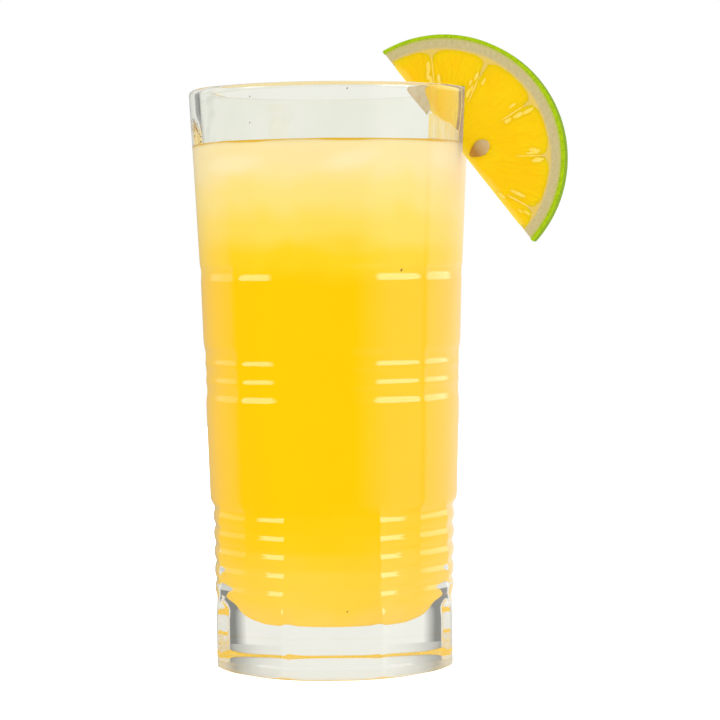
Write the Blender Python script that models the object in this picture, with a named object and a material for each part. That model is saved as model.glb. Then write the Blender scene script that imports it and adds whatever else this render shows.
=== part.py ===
"""A tall pressed-glass tumbler of orange juice with a half slice of citrus on its rim.

The origin is the centre of the tumbler's flat underside, +Z is up, and the slice is on the +X side.
"""

import math

import bmesh
import bpy
from mathutils import Vector

MM = 0.001

# Tumbler
HEIGHT = 160 * MM
RIM_RADIUS = 38.95 * MM
RIM_DEPTH = 1.4 * MM
BASE_RADIUS = 34 * MM
BASE_EDGE = 1.2 * MM
BASE_ROUND_RADIUS = 33.3 * MM
BASE_ROUND_FLARE = 1.2

# Inside of the tumbler: a long taper, a neck that narrows it inside the foot, and a bowl down to a flat floor
INNER_RIM_RADIUS = 36.1 * MM
INNER_TAPER = 0.043
INNER_NECK = 6.4 * MM
INNER_NECK_BOTTOM = 35 * MM
INNER_NECK_TOP = 85 * MM
BOWL_INSET = 5.8 * MM
BOWL_HEIGHT = 20 * MM
FLOOR_HEIGHT = 13.2 * MM
FLOOR_EDGE = 1.2 * MM

# Outside of the tumbler: a foot, a lower body and an upper body, each one a plain taper
FOOT_TOP = 45.5 * MM
FOOT_TOP_RADIUS = 34.5 * MM
LOWER_BODY_TOP = 107.5 * MM
LOWER_BODY_TOP_RADIUS = 36.4 * MM
UPPER_BODY_BOTTOM = 112 * MM
UPPER_BODY_BOTTOM_RADIUS = 36.65 * MM

# Flats pressed into the outside: the body's meet on ridges, and the foot's face between those of the body
FLATS = 8
RIDGE_CAP = 0.005
BODY_FLATNESS = 0.45
BODY_FLAT_TOP = 139 * MM
BODY_FLAT_FADE = 18 * MM
RIBS_BODY_FLATNESS = 0.22
RIBS_FLATNESS = 0.38
RIBS_FLATNESS_AT_TOP = 0.33
FOOT_FLATNESS = 0.64
FOOT_FLARE = 0.85 * MM
FACETS_TOP = 17 * MM
FACETS_FADE = 5.5 * MM

# Horizontal grooves: narrow ones with wide ribs on the foot, wide ones in a recessed band, and a single ring
GROOVE_PITCH = 4.94 * MM
FOOT_GROOVE_BOTTOM = 24.34 * MM
FOOT_GROOVES = 5
FOOT_GROOVE_DEPTH = 0.45 * MM
FOOT_GROOVE_NARROWNESS = 2.8
FOOT_WAIST = 19.6 * MM
FOOT_WAIST_DEPTH = 0.4 * MM
FOOT_WAIST_ABOVE = 2.3 * MM
FOOT_WAIST_BELOW = 5 * MM
BAND_GROOVE_BOTTOM = 76.9 * MM
BAND_GROOVES = 3
BAND_GROOVE_DEPTH = 0.35 * MM
BAND_GROOVE_NARROWNESS = 1
BAND_RECESS = 0.25 * MM
RING_GROOVE = 110.2 * MM
RING_GROOVE_DEPTH = 0.45 * MM
RING_GROOVE_ABOVE = 2.1 * MM
RING_GROOVE_BELOW = 3.4 * MM
GROOVE_SHARE_AT_RIDGE = 0.4
GROOVE_FADE_AT_RIDGE = math.radians(4)

# Drink
DRINK_LEVEL = 144.4 * MM
DRINK_GAP = 0.3 * MM
MENISCUS_HEIGHT = 0.8 * MM
MENISCUS_WIDTH = 1.6 * MM

# Half slice: a disc cut beside its middle, slit over the glass wall, in a plane through the tumbler's axis
SLICE_RADIUS = 34.15 * MM
SLICE_THICKNESS = 6.5 * MM
SLICE_EDGE = 0.5 * MM
SLICE_CENTRE_OUT = 32.2 * MM
SLICE_CENTRE_UP = 140.25 * MM
SLICE_CUT_OFFSET = 5.5 * MM
SLICE_CUT_FACING = math.radians(38.1)
SLICE_TURN = math.radians(-12)
SLIT_GAP = 0.45 * MM
SLIT_TOP_GAP = 0.35 * MM
SEED_OUT = 42.7 * MM
SEED_UP = 142.7 * MM
SEED_LENGTH = 6.4 * MM
SEED_WIDTH = 4.4 * MM
SEED_RELIEF = 0.8 * MM
SEED_TILT = math.radians(35)
SEED_POINT_START = 0.1
SEED_POINTEDNESS = 0.75

# Facets
COLUMNS = 64
LIP_STEPS = 6
EDGE_STEPS = 3
NECK_STEPS = 5
BOWL_STEPS = 3
FLOOR_STEPS = 2
GROOVE_STEPS = 4
FADE_STEPS = 4
PLAIN_WALL_RINGS = (60 * MM, 98 * MM, 126 * MM)
ARC_STEPS = 56
PEEL_EDGE_STEPS = 2
SEED_COLUMNS = 14
SEED_RINGS = 8
SHARP_ANGLE = math.radians(40)

# Colours, linear, and surfaces
GLASS_COLOUR = (0.95, 0.96, 0.95)
GLASS_ROUGHNESS = 0.03
JUICE_COLOUR = (0.99, 0.66, 0.03)
JUICE_ROUGHNESS = 0.35
CITRUS_COLOUR = (0.97, 0.62, 0.02)
CITRUS_ROUGHNESS = 0.4


def blend(start, end, share):
    """start below share 0, end above share 1, and a smooth step between."""
    share = min(max(share, 0), 1)
    return start + (end - start) * share * share * (3 - 2 * share)


def taper(height, low, low_radius, high, high_radius):
    return low_radius + (high_radius - low_radius) * (height - low) / (high - low)


def plain_radius(height):
    """The outside before flats and grooves are pressed in."""
    if height <= FOOT_TOP:
        flare = blend(FOOT_FLARE, 0, (height - FACETS_TOP) / FACETS_FADE)
        return taper(height, 0, BASE_RADIUS, FOOT_TOP, FOOT_TOP_RADIUS) + flare
    if height <= LOWER_BODY_TOP:
        return taper(height, FOOT_TOP, FOOT_TOP_RADIUS, LOWER_BODY_TOP, LOWER_BODY_TOP_RADIUS)
    if height >= UPPER_BODY_BOTTOM:
        return taper(height, UPPER_BODY_BOTTOM, UPPER_BODY_BOTTOM_RADIUS, HEIGHT - RIM_DEPTH, RIM_RADIUS)
    share = (height - LOWER_BODY_TOP) / (UPPER_BODY_BOTTOM - LOWER_BODY_TOP)
    return blend(LOWER_BODY_TOP_RADIUS, UPPER_BODY_BOTTOM_RADIUS, share)


def groove_band(height, bottom, count, depth, narrowness):
    """Depth of a band of rounded grooves one pitch apart; narrow grooves leave wide ribs between them."""
    turns = (height - bottom) / GROOVE_PITCH
    if not -0.5 < turns < count - 0.5:
        return 0
    return depth * abs(math.cos(math.pi * turns)) ** narrowness


def groove_depth(height, angle):
    """The foot's grooves and waist run all round. The band's and the ring run out towards the body's ridges."""
    foot = groove_band(height, FOOT_GROOVE_BOTTOM, FOOT_GROOVES, FOOT_GROOVE_DEPTH, FOOT_GROOVE_NARROWNESS)
    waist_reach = FOOT_WAIST_ABOVE if height > FOOT_WAIST else FOOT_WAIST_BELOW
    foot += blend(FOOT_WAIST_DEPTH, 0, abs(height - FOOT_WAIST) / waist_reach)
    body = groove_band(height, BAND_GROOVE_BOTTOM, BAND_GROOVES, BAND_GROOVE_DEPTH, BAND_GROOVE_NARROWNESS)
    ring_reach = RING_GROOVE_ABOVE if height > RING_GROOVE else RING_GROOVE_BELOW
    body += blend(RING_GROOVE_DEPTH, 0, abs(height - RING_GROOVE) / ring_reach)
    band_middle = BAND_GROOVE_BOTTOM + GROOVE_PITCH * (BAND_GROOVES - 1) / 2
    band_reach = GROOVE_PITCH * BAND_GROOVES / 2
    recess = blend(BAND_RECESS, 0, (abs(height - band_middle) - band_reach) / GROOVE_PITCH + 0.5)
    pitch = 2 * math.pi / FLATS
    off_ridge = abs((angle + pitch / 2) % pitch - pitch / 2)
    return foot + recess + body * blend(GROOVE_SHARE_AT_RIDGE, 1, off_ridge / GROOVE_FADE_AT_RIDGE)


def flat_loss(angle, centre):
    """How far a full flat lies inside the circle through its edges, as a share of that circle's radius."""
    pitch = 2 * math.pi / FLATS
    off_centre = (angle - centre + pitch / 2) % pitch - pitch / 2
    return 1 - math.cos(pitch / 2) / math.cos(off_centre)


def outer_radius(height, angle):
    """Body flats meet on the X and Y axes, foot flats face along them and turn round at the lowest edge."""
    body_flatness = blend(BODY_FLATNESS, 0, (height - BODY_FLAT_TOP) / BODY_FLAT_FADE)
    foot_flatness = blend(FOOT_FLATNESS - RIBS_FLATNESS, 0, (height - FACETS_TOP) / FACETS_FADE)
    if height < FOOT_TOP + GROOVE_PITCH / 2:
        down = (FOOT_TOP + GROOVE_PITCH / 2 - height) / GROOVE_PITCH
        body_flatness = blend(BODY_FLATNESS, RIBS_BODY_FLATNESS, down)
        foot_flatness = blend(0, RIBS_FLATNESS_AT_TOP, down)
    if height < FOOT_TOP - GROOVE_PITCH / 2:
        down = (FOOT_TOP - GROOVE_PITCH / 2 - height) / (FOOT_TOP - GROOVE_PITCH / 2 - FOOT_WAIST)
        body_flatness = blend(RIBS_BODY_FLATNESS, 0, down)
        foot_flatness = blend(RIBS_FLATNESS_AT_TOP, RIBS_FLATNESS, down)
        foot_flatness += blend(FOOT_FLATNESS - RIBS_FLATNESS, 0, (height - FACETS_TOP) / FACETS_FADE)
    loss = body_flatness * flat_loss(angle, math.pi / FLATS) + foot_flatness * flat_loss(angle, 0)
    ridge = min((1 + RIDGE_CAP) * (1 - loss), 1)
    faceted = plain_radius(height) * ridge - groove_depth(height, angle)
    return min(faceted, BASE_ROUND_RADIUS + BASE_ROUND_FLARE * height)


def inner_radius(height):
    """The plunger's outline: a long taper, a narrower neck inside the foot, and a bowl down to the floor."""
    narrowed = INNER_TAPER * (HEIGHT - RIM_DEPTH - height)
    neck = blend(INNER_NECK, 0, (height - INNER_NECK_BOTTOM) / (INNER_NECK_TOP - INNER_NECK_BOTTOM))
    bowl = BOWL_INSET * min(max(1 - (height - FLOOR_HEIGHT) / BOWL_HEIGHT, 0), 1) ** 2
    return INNER_RIM_RADIUS - narrowed - neck - bowl


def inside(inset):
    """(height, radius) down the neck and the bowl and round the edge of the floor, moved in by inset."""
    neck = (INNER_NECK_TOP - INNER_NECK_BOTTOM) / NECK_STEPS
    bowl = (BOWL_HEIGHT - FLOOR_EDGE) / BOWL_STEPS
    heights = [INNER_NECK_TOP - neck * step for step in range(NECK_STEPS + 1)]
    heights += [FLOOR_HEIGHT + BOWL_HEIGHT - bowl * step for step in range(1, BOWL_STEPS)]
    points = [(height, inner_radius(height) - inset) for height in heights]
    wall, corner = inner_radius(FLOOR_HEIGHT + FLOOR_EDGE), inner_radius(FLOOR_HEIGHT)
    for step in range(FLOOR_STEPS + 1):
        share = step / FLOOR_STEPS
        left = (1 - share) ** 2
        radius = wall * left + corner * (1 - left) - FLOOR_EDGE * share**2
        points.append((FLOOR_HEIGHT + FLOOR_EDGE * left + inset, radius - inset))
    return points


def outer_heights():
    """Heights of the rings up the outside: close over each groove, wide apart on the plain walls."""
    fine = GROOVE_PITCH / GROOVE_STEPS
    waist = [FOOT_WAIST - FOOT_WAIST_BELOW * step / GROOVE_STEPS for step in range(GROOVE_STEPS + 1)]
    waist.append(FOOT_WAIST + FOOT_WAIST_ABOVE / 2)
    foot = [FOOT_GROOVE_BOTTOM + fine * step for step in range(-2, GROOVE_STEPS * (FOOT_GROOVES - 1) + 3)]
    band = [BAND_GROOVE_BOTTOM + fine * step for step in range(-3, GROOVE_STEPS * (BAND_GROOVES - 1) + 4)]
    ring = [RING_GROOVE - RING_GROOVE_BELOW * step / GROOVE_STEPS for step in range(GROOVE_STEPS, 0, -1)]
    ring += [RING_GROOVE + RING_GROOVE_ABOVE * step / GROOVE_STEPS for step in range(GROOVE_STEPS + 1)]
    fade = [BODY_FLAT_TOP + BODY_FLAT_FADE * step / FADE_STEPS for step in range(FADE_STEPS + 1)]
    return sorted(waist + foot + band + ring + fade + list(PLAIN_WALL_RINGS)) + [HEIGHT - RIM_DEPTH]


def ring_of_points(mesh, height, radius_at):
    """One closed ring of vertices; radius_at gives the radius at an angle."""
    ring = []
    for column in range(COLUMNS):
        angle = 2 * math.pi * column / COLUMNS
        radius = radius_at(angle)
        ring.append(mesh.verts.new((radius * math.cos(angle), radius * math.sin(angle), height)))
    return ring


def stack_rings(mesh, rings):
    """Quads from each ring to the next one, and a flat face over each end."""
    for lower, upper in zip(rings, rings[1:]):
        for column in range(COLUMNS):
            after = (column + 1) % COLUMNS
            mesh.faces.new((lower[column], lower[after], upper[after], upper[column]))
    mesh.faces.new(reversed(rings[0]))
    mesh.faces.new(rings[-1])


def plain_material(name, colour, roughness, transmission=0.0):
    material = bpy.data.materials.new(name)
    material.use_nodes = True
    shader = material.node_tree.nodes["Principled BSDF"]
    shader.inputs["Base Color"].default_value = (*colour, 1)
    shader.inputs["Metallic"].default_value = 0
    shader.inputs["Roughness"].default_value = roughness
    shader.inputs["Transmission Weight"].default_value = transmission
    material.diffuse_color = (*colour, 1)
    return material


def add_object(name, mesh, material):
    bmesh.ops.recalc_face_normals(mesh, faces=mesh.faces)
    data = bpy.data.meshes.new(name)
    mesh.to_mesh(data)
    mesh.free()
    data.materials.append(material)
    data.shade_smooth()
    data.set_sharp_from_angle(angle=SHARP_ANGLE)
    created = bpy.data.objects.new(name, data)
    bpy.context.scene.collection.objects.link(created)
    return created


def make_tumbler():
    """One piece of thick clear glass: up the outside, over the round lip and down to the floor."""
    mesh = bmesh.new()
    rings = []
    for step in range(EDGE_STEPS):
        turn = math.pi / 2 * step / (EDGE_STEPS - 1)
        height = BASE_EDGE * (1 - math.cos(turn))
        inset = BASE_EDGE * (1 - math.sin(turn))
        rings.append(ring_of_points(mesh, height, lambda angle: outer_radius(height, angle) - inset))
    for height in outer_heights():
        rings.append(ring_of_points(mesh, height, lambda angle: outer_radius(height, angle)))
    lip_middle = (RIM_RADIUS + INNER_RIM_RADIUS) / 2
    for step in range(1, LIP_STEPS):
        turn = math.pi * step / LIP_STEPS
        radius = lip_middle + (RIM_RADIUS - lip_middle) * math.cos(turn)
        height = HEIGHT - RIM_DEPTH * (1 - math.sin(turn))
        rings.append(ring_of_points(mesh, height, lambda angle: radius))
    rings.append(ring_of_points(mesh, HEIGHT - RIM_DEPTH, lambda angle: INNER_RIM_RADIUS))
    for height, radius in inside(0):
        rings.append(ring_of_points(mesh, height, lambda angle: radius))
    stack_rings(mesh, rings)
    glass = plain_material("clear_glass", GLASS_COLOUR, GLASS_ROUGHNESS, transmission=1.0)
    return add_object("tumbler", mesh, glass)


def make_drink():
    """The juice fills the tumbler to its level and climbs the wall a little in a meniscus."""
    mesh = bmesh.new()
    rings = []
    for height, radius in reversed(inside(DRINK_GAP)):
        rings.append(ring_of_points(mesh, height, lambda angle: radius))
    edge = inner_radius(DRINK_LEVEL) - DRINK_GAP
    for share in (0, 0.5, 1):
        height = DRINK_LEVEL + MENISCUS_HEIGHT * (1 - share) ** 2
        rings.append(ring_of_points(mesh, height, lambda angle: edge - MENISCUS_WIDTH * share))
    stack_rings(mesh, rings)
    juice = plain_material("cloudy_juice", JUICE_COLOUR, JUICE_ROUGHNESS)
    return add_object("juice", mesh, juice)


def slice_outline():
    """(out, up) points of the half slice's face: its arc, then the straight cut with the slit in it."""
    half_arc = math.acos(SLICE_CUT_OFFSET / SLICE_RADIUS)
    points = []
    for step in range(ARC_STEPS + 1):
        turn = SLICE_CUT_FACING - half_arc + 2 * half_arc * step / ARC_STEPS
        out = SLICE_CENTRE_OUT + SLICE_RADIUS * math.cos(turn)
        points.append((out, SLICE_CENTRE_UP + SLICE_RADIUS * math.sin(turn)))
    slit_top = HEIGHT + SLIT_TOP_GAP
    inner_top = INNER_RIM_RADIUS - SLIT_GAP
    outer_top = RIM_RADIUS + SLIT_GAP
    inner_lean = (INNER_RIM_RADIUS - inner_radius(DRINK_LEVEL)) / (HEIGHT - RIM_DEPTH - DRINK_LEVEL)
    outer_lean = (RIM_RADIUS - plain_radius(DRINK_LEVEL)) / (HEIGHT - RIM_DEPTH - DRINK_LEVEL)
    points.append(where_cut_meets(inner_top, slit_top, inner_lean))
    points.append((inner_top, slit_top))
    points.append((outer_top, slit_top))
    points.append(where_cut_meets(outer_top, slit_top, outer_lean))
    return points


def where_cut_meets(out, up, lean):
    """Where the straight cut crosses the line that goes down through (out, up), leaning in by lean."""
    facing_out, facing_up = math.cos(SLICE_CUT_FACING), math.sin(SLICE_CUT_FACING)
    above = (out - SLICE_CENTRE_OUT) * facing_out + (up - SLICE_CENTRE_UP) * facing_up - SLICE_CUT_OFFSET
    down = above / (facing_up + lean * facing_out)
    return out - lean * down, up - down


def make_slice():
    """A thick half wheel of citrus, slit from its cut edge up to the rim that carries it."""
    mesh = bmesh.new()
    front = -SLICE_THICKNESS / 2
    face = mesh.faces.new([mesh.verts.new((out, front, up)) for out, up in slice_outline()])
    made = bmesh.ops.extrude_face_region(mesh, geom=[face])
    back = [part for part in made["geom"] if isinstance(part, bmesh.types.BMVert)]
    bmesh.ops.translate(mesh, verts=back, vec=(0, SLICE_THICKNESS, 0))
    flesh = plain_material("citrus_fruit", CITRUS_COLOUR, CITRUS_ROUGHNESS)
    half_slice = add_object("citrus_slice", mesh, flesh)

    edge = half_slice.modifiers.new("soft_peel_edge", "BEVEL")
    edge.width = SLICE_EDGE
    edge.segments = PEEL_EDGE_STEPS
    edge.limit_method = "ANGLE"
    edge.angle_limit = SHARP_ANGLE

    seed = make_seed(front, flesh)
    fuse = half_slice.modifiers.new("fused_seed", "BOOLEAN")
    fuse.operation = "UNION"
    fuse.object = seed
    for placed in (half_slice, seed):
        placed.rotation_euler.z = SLICE_TURN
    return half_slice


def make_seed(front, material):
    """A cut seed that stands a little out of the flesh, pointed at its lower inner end."""
    mesh = bmesh.new()
    bmesh.ops.create_uvsphere(mesh, u_segments=SEED_COLUMNS, v_segments=SEED_RINGS, radius=0.5)
    along = Vector((-math.cos(SEED_TILT), 0, -math.sin(SEED_TILT)))
    across = Vector((math.sin(SEED_TILT), 0, -math.cos(SEED_TILT)))
    centre = Vector((SEED_OUT, front, SEED_UP))
    for vertex in mesh.verts:
        length, width, relief = vertex.co
        point = 1 - SEED_POINTEDNESS * max(length + SEED_POINT_START, 0)
        placed = centre + along * length * SEED_LENGTH + across * width * SEED_WIDTH * point
        vertex.co = placed + Vector((0, relief * 2 * SEED_RELIEF * point, 0))
    seed = add_object("seed_shape", mesh, material)
    seed.hide_render = True
    seed.display_type = "WIRE"
    return seed


for leftover in list(bpy.data.objects):
    bpy.data.objects.remove(leftover)
make_tumbler()
make_drink()
make_slice()
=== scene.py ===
import math

import bmesh
import bpy
import numpy as np
from mathutils import Matrix, Vector


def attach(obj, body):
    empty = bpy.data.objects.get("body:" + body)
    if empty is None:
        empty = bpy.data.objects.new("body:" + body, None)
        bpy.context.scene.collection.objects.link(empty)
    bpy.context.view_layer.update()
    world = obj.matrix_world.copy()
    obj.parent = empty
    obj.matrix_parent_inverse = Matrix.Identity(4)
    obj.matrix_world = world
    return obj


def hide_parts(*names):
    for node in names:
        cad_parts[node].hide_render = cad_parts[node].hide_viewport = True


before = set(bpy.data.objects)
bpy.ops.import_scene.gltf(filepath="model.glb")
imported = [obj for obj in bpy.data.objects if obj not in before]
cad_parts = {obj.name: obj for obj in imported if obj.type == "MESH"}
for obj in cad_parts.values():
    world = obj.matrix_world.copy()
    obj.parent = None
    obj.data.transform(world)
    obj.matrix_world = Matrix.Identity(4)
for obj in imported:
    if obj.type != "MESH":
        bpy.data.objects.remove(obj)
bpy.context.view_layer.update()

scene = bpy.context.scene


# Camera: a long lens at a table's length, a little below the rim, that looks slightly down. It is rolled by
# a fraction of a degree, so the tumbler leans a hair to the left.
CAMERA_DISTANCE = 0.7
CAMERA_HEIGHT = 0.1143
CAMERA_AZIMUTH = math.radians(1)
CAMERA_PAN = math.radians(0.636)
CAMERA_TILT = math.radians(2.415)
CAMERA_ROLL = math.radians(0.636)
CAMERA_LENS = 125.33

heading = CAMERA_AZIMUTH - CAMERA_PAN
level_forward = Vector((-math.sin(heading), math.cos(heading), 0))
level_right = Vector((math.cos(heading), math.sin(heading), 0))
forward = level_forward * math.cos(CAMERA_TILT) - Vector((0, 0, math.sin(CAMERA_TILT)))
level_up = Vector((0, 0, math.cos(CAMERA_TILT))) + level_forward * math.sin(CAMERA_TILT)
right = level_right * math.cos(CAMERA_ROLL) - level_up * math.sin(CAMERA_ROLL)
up = level_right * math.sin(CAMERA_ROLL) + level_up * math.cos(CAMERA_ROLL)

camera_data = bpy.data.cameras.new("studio_camera")
camera_data.lens = CAMERA_LENS
camera_data.sensor_width = 36
camera_data.clip_start = 0.01
camera = bpy.data.objects.new("studio_camera", camera_data)
place = Vector((math.sin(CAMERA_AZIMUTH), -math.cos(CAMERA_AZIMUTH), 0)) * CAMERA_DISTANCE
place.z = CAMERA_HEIGHT
camera.matrix_world = Matrix.Translation(place) @ Matrix((right, up, -forward)).transposed().to_4x4()
scene.collection.objects.link(camera)
scene.camera = camera


# Floor: a sheet of matt white card with a round edge, a hair below the tumbler's foot. It gives an even white,
# with only a soft shade where the foot stands. The lights that show through the glass are each (from, to,
# soft edge, glow), with the angles in degrees.
MM = 0.001
FLOOR_RADIUS = 620 * MM
FLOOR_FRONT = 250 * MM
FLOOR_DROP = 0.3 * MM
FLOOR_GLOW = 0.3
CARD_MOTTLE = 1.11 * MM
BACKDROP = (-29.5, 27.6, 1, 1.0)
SIDE_LIGHTS = [(-190, -44, 2, 0.9), (44, 190, 2, 0.9)]
GAP_GLOW = 0.34
NEAR_TABLE = (-91, -14, 1, 0.9)
THROUGH_GLASS = "#D9D8D3"
WHITE = "#FFFFFF"


def linear(hex_colour):
    """Linear RGBA of an sRGB hex colour."""
    shares = [int(hex_colour[start : start + 2], 16) / 255 for start in (1, 3, 5)]
    return (*[s / 12.92 if s <= 0.04045 else ((s + 0.055) / 1.055) ** 2.4 for s in shares], 1)


def add_node(tree, kind, inputs=(), **settings):
    """Adds one node: its settings, and for each socket a plain value, or a link from a node or an output."""
    added = tree.nodes.new(kind)
    for name, value in settings.items():
        setattr(added, name, value)
    for socket, given in inputs.items() if isinstance(inputs, dict) else enumerate(inputs):
        if isinstance(given, bpy.types.Node):
            given = given.outputs[0]
        if isinstance(given, bpy.types.NodeSocket):
            tree.links.new(given, added.inputs[socket])
        else:
            added.inputs[socket].default_value = given
    return added


def new_material(name, surface):
    """A material with its tree, its output and its shader, whose own sockets take the surface's values."""
    material = bpy.data.materials.new(name)
    material.use_nodes = True
    tree = material.node_tree
    shader = tree.nodes["Principled BSDF"]
    for socket, value in surface.items():
        shader.inputs[socket].default_value = value
    return material, tree, tree.nodes["Material Output"], shader


def colour_by(tree, share, stops, interpolation="LINEAR"):
    """The colour that belongs to a share from 0 to 1, by (position, hex colour) stops."""
    ramp = add_node(tree, "ShaderNodeValToRGB", [share])
    ramp.color_ramp.interpolation = interpolation
    while len(ramp.color_ramp.elements) < len(stops):
        ramp.color_ramp.elements.new(0.5)
    for element, (position, hex_colour) in zip(ramp.color_ramp.elements, stops):
        element.position = position
        element.color = linear(hex_colour)
    return ramp.outputs["Color"]


def window(tree, value, low, high, edge, glow):
    """A glow between two angles in degrees and 0 outside, with soft edges."""
    shares = []
    for end, before, after in ((low, 0, 1), (high, 1, 0)):
        reach = {"From Min": math.radians(end - edge), "From Max": math.radians(end + edge)}
        reach |= {"To Min": before, "To Max": after}
        shares.append(add_node(tree, "ShaderNodeMapRange", {"Value": value} | reach))
    inside = add_node(tree, "ShaderNodeMath", shares, operation="MULTIPLY")
    return add_node(tree, "ShaderNodeMath", [inside, glow], operation="MULTIPLY")


def glow_behind(tree, way):
    """How bright the light is that shows through the glass, in the direction of a vector."""
    parts = add_node(tree, "ShaderNodeSeparateXYZ", [way]).outputs
    azimuth = add_node(tree, "ShaderNodeMath", [parts["X"], parts["Y"]], operation="ARCTAN2")
    elevation = add_node(tree, "ShaderNodeMath", [parts["Z"]], operation="ARCSINE")
    total = GAP_GLOW
    for panel in [BACKDROP, *SIDE_LIGHTS]:
        total = add_node(tree, "ShaderNodeMath", [window(tree, azimuth, *panel), total], operation="ADD")
    table = window(tree, elevation, *NEAR_TABLE)
    return add_node(tree, "ShaderNodeMath", [total, table], operation="MAXIMUM")


card, tree, output, shader = new_material("matt_white_card", {"Roughness": 0.9, "Specular IOR Level": 0.0})
mottle = add_node(tree, "ShaderNodeTexNoise", {"Scale": 1 / CARD_MOTTLE, "Detail": 3})
tone = colour_by(tree, mottle, [(0.3, "#F0F0EE"), (0.7, "#F4F4F2")])
tree.links.new(tone, shader.inputs["Base Color"])
ray = add_node(tree, "ShaderNodeLightPath").outputs
glow = add_node(tree, "ShaderNodeMath", [ray["Is Diffuse Ray"], FLOOR_GLOW], operation="MULTIPLY")
glow = add_node(tree, "ShaderNodeMath", [glow, ray["Is Camera Ray"]], operation="ADD")
shader.inputs["Emission Color"].default_value = linear(WHITE)
tree.links.new(glow.outputs[0], shader.inputs["Emission Strength"])
# Seen through the glass, the card is as bright as the light behind it.
way = add_node(tree, "ShaderNodeNewGeometry").outputs["Incoming"]
turned = add_node(tree, "ShaderNodeVectorMath", [way, (-1, -1, -1)], operation="MULTIPLY")
white_glow = {"Color": linear(THROUGH_GLASS), "Strength": glow_behind(tree, turned)}
white_glow = add_node(tree, "ShaderNodeEmission", white_glow)
behind_glass = add_node(tree, "ShaderNodeMath", [ray["Transmission Depth"], 0.5], operation="GREATER_THAN")
own = add_node(tree, "ShaderNodeMath", [behind_glass, ray["Is Diffuse Ray"]], operation="SUBTRACT")
mixed = add_node(tree, "ShaderNodeMixShader", [own, shader, white_glow])
tree.links.new(mixed.outputs[0], output.inputs["Surface"])

disc = bmesh.new()
bmesh.ops.create_circle(disc, cap_ends=True, segments=128, radius=FLOOR_RADIUS)
floor_mesh = bpy.data.meshes.new("floor")
disc.to_mesh(floor_mesh)
disc.free()
floor_mesh.materials.append(card)
floor = bpy.data.objects.new("floor", floor_mesh)
floor.location = (0, FLOOR_RADIUS - FLOOR_FRONT, -FLOOR_DROP)
floor.visible_glossy = False
scene.collection.objects.link(floor)


# Studio light: an even white surround lights the matt things. The glass mirrors soft boxes on three sides and
# pale panels behind it to the left and right. Through the glass shows a bright backdrop, with dimmer sides.
# A panel is (from, to, soft edge, glow), a soft box has its lower edge as well, and the angles are in degrees.
SURROUND_STRENGTH = 1.1
SOFT_BOX_TOP = (36, 1.5, 1.0)
SOFT_BOXES = [(-77, -54, 1.5, 4.0, 12), (45, 74, 1.5, 4.5, 12), (98, 138, 4, 1.6, 4), (-140, -98, 4, 0.6, 4)]
PANELS = [(-200, -106, 20, 0.4), (42, 80, 10, 0.9), (90, 200, 22, 0.95)]

scene.view_settings.view_transform = "Standard"
scene.cycles.use_denoising = True
scene.cycles.max_bounces = 64
scene.cycles.transmission_bounces = 32
scene.cycles.glossy_bounces = 64
scene.cycles.diffuse_bounces = 4
scene.cycles.transparent_max_bounces = 24

world = bpy.data.worlds.new("white_surround")
scene.world = world
world.use_nodes = True
world.cycles.sampling_method = "NONE"
sky = world.node_tree
sky.nodes.clear()

way = add_node(sky, "ShaderNodeTexCoord").outputs["Generated"]
across = add_node(sky, "ShaderNodeSeparateXYZ", [way]).outputs
forwards = add_node(sky, "ShaderNodeMath", [across["Y"], -1], operation="MULTIPLY")
azimuth = add_node(sky, "ShaderNodeMath", [across["X"], forwards], operation="ARCTAN2")
elevation = add_node(sky, "ShaderNodeMath", [across["Z"]], operation="ARCSINE")
mirrored = 0.0
for *breadth, lowest in SOFT_BOXES:
    spans = [window(sky, azimuth, *breadth), window(sky, elevation, lowest, *SOFT_BOX_TOP)]
    box = add_node(sky, "ShaderNodeMath", spans, operation="MULTIPLY")
    mirrored = add_node(sky, "ShaderNodeMath", [box, mirrored], operation="ADD")
for panel in PANELS:
    mirrored = add_node(sky, "ShaderNodeMath", [window(sky, azimuth, *panel), mirrored], operation="ADD")
ray = add_node(sky, "ShaderNodeLightPath").outputs
behind_glass = add_node(sky, "ShaderNodeMath", [ray["Transmission Depth"], 0.5], operation="GREATER_THAN")
shown = add_node(sky, "ShaderNodeBackground", [linear(WHITE), mirrored])
for share, strength, colour in (
    (behind_glass, glow_behind(sky, way), THROUGH_GLASS),
    (ray["Is Diffuse Ray"], SURROUND_STRENGTH, WHITE),
    (ray["Is Camera Ray"], 1.0, WHITE),
):
    light = add_node(sky, "ShaderNodeBackground", [linear(colour), strength])
    shown = add_node(sky, "ShaderNodeMixShader", [share, shown, light])
add_node(sky, "ShaderNodeOutputWorld", [shown])


# Tumbler: one gob of soda-lime glass pressed in an iron mould, with eight shallow flats, ribbed bands and a
# thick foot. The rim is fire polished. It stands on its flat underside.
HEIGHT = 160 * MM
RIM_RADIUS = 38.95 * MM
RIM_DEPTH = 1.4 * MM
BASE_RADIUS = 34 * MM
BASE_EDGE = 1.2 * MM
BASE_ROUND_RADIUS = 33.3 * MM
BASE_ROUND_FLARE = 1.2
FLOOR_HEIGHT = 13.2 * MM
FLOOR_EDGE = 1.2 * MM
BOWL_INSET = 5.8 * MM
BOWL_HEIGHT = 20 * MM
INNER_TAPER = 0.043
INNER_NECK = 6.4 * MM
INNER_NECK_BOTTOM = 35 * MM
INNER_NECK_TOP = 85 * MM
INNER_RIM_RADIUS = 36.1 * MM
FOOT_TOP = 45.5 * MM
FOOT_TOP_RADIUS = 34.5 * MM
LOWER_BODY_TOP = 107.5 * MM
LOWER_BODY_TOP_RADIUS = 36.4 * MM
UPPER_BODY_BOTTOM = 112 * MM
UPPER_BODY_BOTTOM_RADIUS = 36.65 * MM
FLATS = 8
RIDGE_CAP = 0.005
RIDGE_SOFTNESS = 0.0015
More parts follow.
